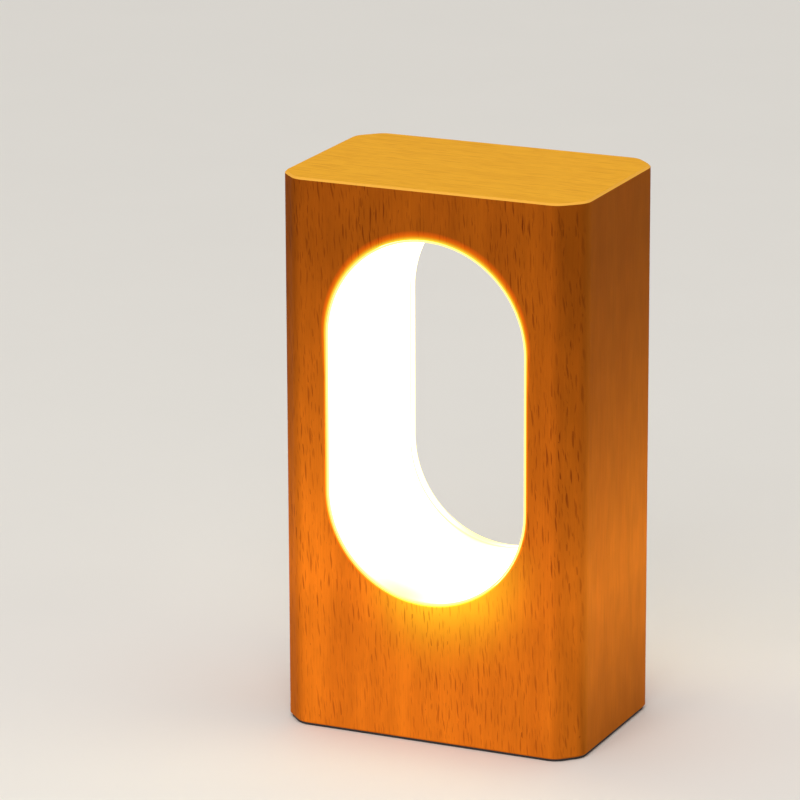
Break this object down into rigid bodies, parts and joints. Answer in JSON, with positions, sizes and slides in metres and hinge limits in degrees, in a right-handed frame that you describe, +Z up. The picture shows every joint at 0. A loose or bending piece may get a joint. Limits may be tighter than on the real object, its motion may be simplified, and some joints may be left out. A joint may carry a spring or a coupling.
{
  "type": "wooden desk lamp",
  "caption": "Beech block table lamp with an obround window whose opal lining glows all round, a push button and a charging inlet on its back.",
  "frame": {"origin": "on the table, under the middle of the block", "axes": "+Z up, +X to the right seen from the front, +Y towards the back with the button and the inlet"},
  "size_m": [0.08, 0.052, 0.14],
  "materials": {
    "beech": "satin oil",
    "opal_plastic": "satin, lit from behind",
    "strip_film": "white film",
    "led_phosphor": "resin",
    "component_black": "moulded",
    "lead_red": "silicone",
    "lead_black": "silicone",
    "board_green": "solder mask",
    "screw_steel": "zinc plated",
    "ferrite_grey": "sintered",
    "ceramic_tan": "ceramic",
    "connector_white": "moulded",
    "shell_nickel": "nickel plated",
    "insulator_black": "moulded",
    "contact_gold": "gold plated",
    "clear_plastic": "clear",
    "switch_black": "moulded",
    "pin_tin": "tinned",
    "plunger_white": "moulded",
    "button_aluminium": "turned, satin anodised",
    "bezel_steel": "turned",
    "spring_steel": "drawn wire",
    "cell_foil": "laminated foil",
    "foam_black": "closed-cell foam",
    "cover_black": "fine texture",
    "pad_black": "non-slip sheet"
  },
  "bodies": {
    "lamp": {"wood_body": "beech", "diffuser_ring": "opal_plastic", "led_strip": "strip_film", "led_chips": "led_phosphor", "strip_resistors": "component_black", "led_lead_positive": "lead_red", "led_lead_negative": "lead_black", "control_board": "board_green", "board_screws": "screw_steel", "inductor": "ferrite_grey", "board_chips": "component_black", "board_capacitors": "ceramic_tan", "board_resistors": "component_black", "battery_header": "connector_white", "battery_plug": "connector_white", "usb_shell": "shell_nickel", "usb_tongue": "insulator_black", "usb_contacts": "contact_gold", "indicator_led": "led_phosphor", "light_pipe": "clear_plastic", "switch_body": "switch_black", "switch_pins": "pin_tin", "button_bezel": "bezel_steel", "button_spring": "spring_steel", "battery_cell": "cell_foil", "battery_foam": "foam_black", "protection_board": "board_green", "protection_chips": "component_black", "battery_lead_positive": "lead_red", "battery_lead_negative": "lead_black", "bottom_cover": "cover_black", "cover_screws": "screw_steel", "base_pad": "pad_black"},
    "button": {"button_cap": "button_aluminium", "switch_plunger": "plunger_white"}
  },
  "joints": [
    {"name": "button_press", "type": "slide", "parent": "lamp", "child": "button", "axis": [0, -1, 0], "range_m": [0, 0.0012], "stiffness_N_per_m": 600, "springref_m": -0.0015, "deforming": ["button_spring"]}
  ]
}
